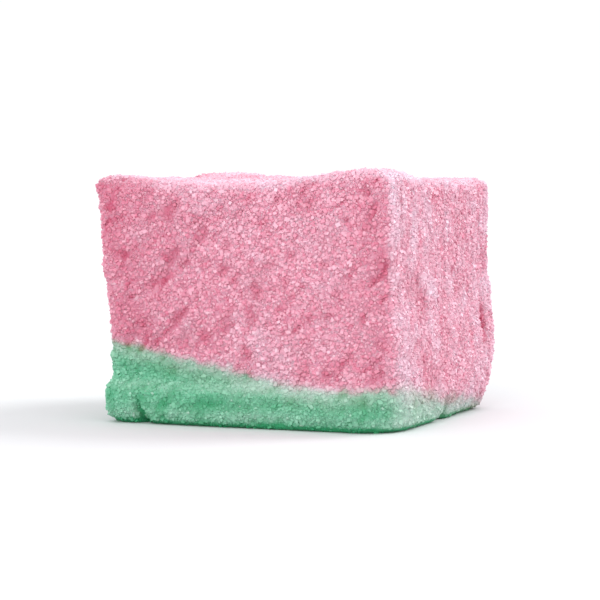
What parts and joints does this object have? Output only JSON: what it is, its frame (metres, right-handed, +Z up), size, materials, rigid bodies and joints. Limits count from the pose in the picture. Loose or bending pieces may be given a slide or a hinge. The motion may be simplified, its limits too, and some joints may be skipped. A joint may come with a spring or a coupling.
{
  "type": "marshmallow",
  "caption": "Sugar-coated marshmallow cube, pink with mint green marbling, slumped a little and resting on its flat base.",
  "frame": {"origin": "middle of the box around the marshmallow, on the surface it rests on", "axes": "+X to the right along the broad front, +Y from the front to the back, +Z up"},
  "size_m": [0.0362, 0.0336, 0.028],
  "materials": {
    "sugared_marshmallow": "soft and dry, pale pink marbled with mint green, under a dense coat of granulated sugar"
  },
  "bodies": {
    "root": {"marshmallow": "sugared_marshmallow"}
  },
  "joints": []
}
